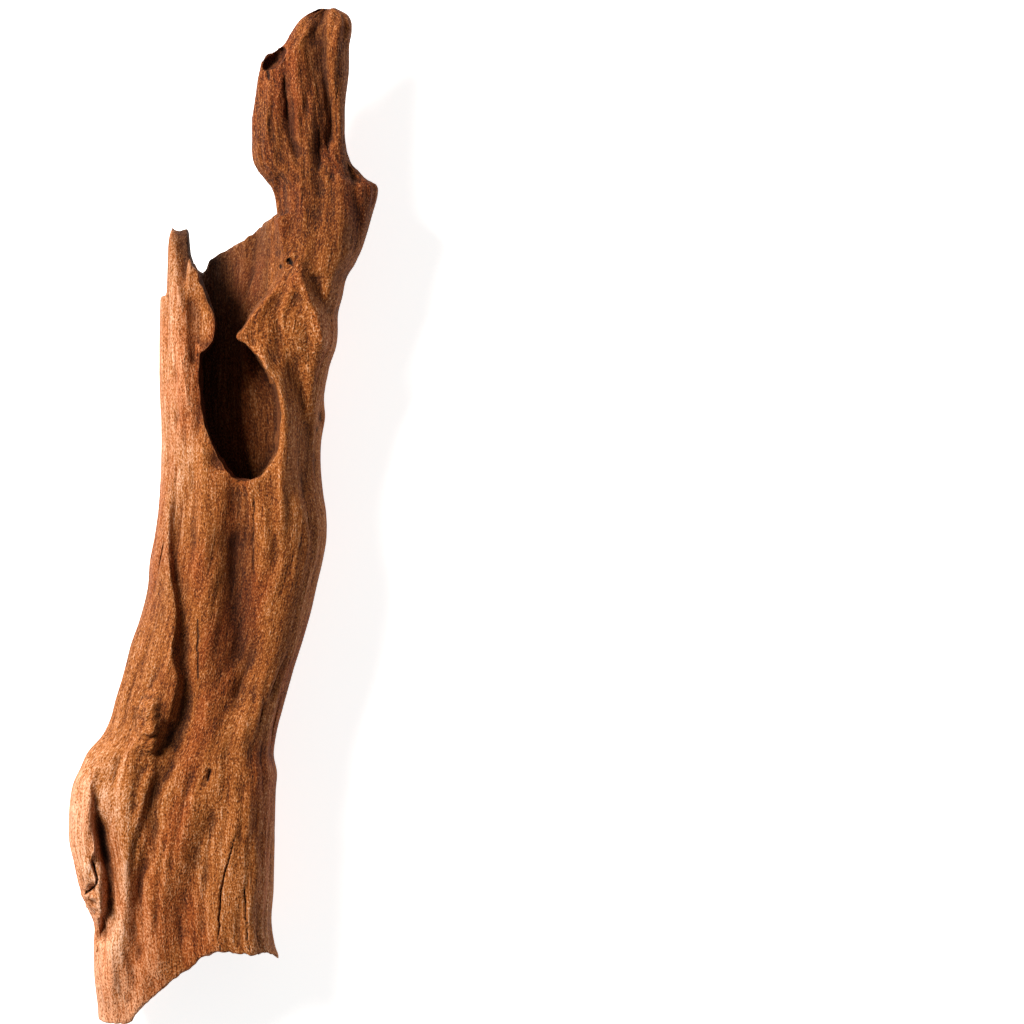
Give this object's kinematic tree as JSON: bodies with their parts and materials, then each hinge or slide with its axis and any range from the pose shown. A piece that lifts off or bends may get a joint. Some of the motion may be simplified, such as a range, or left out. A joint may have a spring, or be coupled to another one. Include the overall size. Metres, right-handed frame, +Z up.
{
  "type": "piece of driftwood",
  "caption": "Weathered length of hollow branch with a large opening into its hollow, a broken lower end, and a neck that runs on to a paddle-shaped tip.",
  "frame": {"origin": "centre of the piece's bounding box, on the surface it lies on", "axes": "+Y up the grain from the broken lower end to the paddle-shaped tip, +Z up, out of the side that the hollow opens to, +X towards the hooked point"},
  "size_m": [0.1381, 0.4555, 0.0632],
  "materials": {
    "wood": "bare, weathered, matt"
  },
  "bodies": {
    "root": {"driftwood": "wood"}
  },
  "joints": []
}
